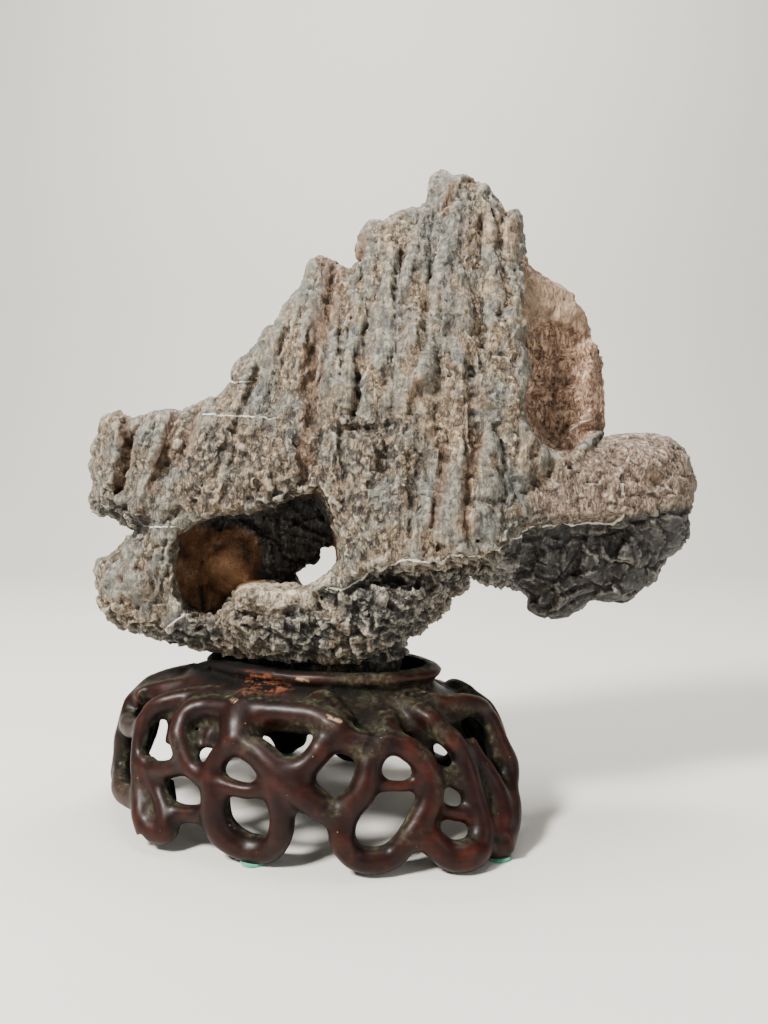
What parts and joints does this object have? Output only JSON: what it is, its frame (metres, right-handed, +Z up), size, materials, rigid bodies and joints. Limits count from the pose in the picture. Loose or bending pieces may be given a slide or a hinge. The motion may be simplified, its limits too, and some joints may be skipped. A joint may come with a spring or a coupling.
{
  "type": "scholar's rock on stand",
  "caption": "Upright weathered scholar's rock with a cavern, seated in the oval cup of a carved openwork root-style wooden stand with felt pads under its feet.",
  "frame": {"origin": "on the surface it stands on, under the middle of the whole object's plan", "axes": "+Z up, +X to the right along the stone's broad face, -Y toward the viewer"},
  "size_m": [0.2781, 0.141, 0.2848],
  "materials": {
    "limestone": "matte",
    "rosewood": "polished",
    "felt": "matte"
  },
  "bodies": {
    "root": {"rock": "limestone", "stand": "rosewood", "felt_pad_front": "felt", "felt_pad_right": "felt", "felt_pad_back": "felt", "felt_pad_left": "felt"}
  },
  "joints": []
}
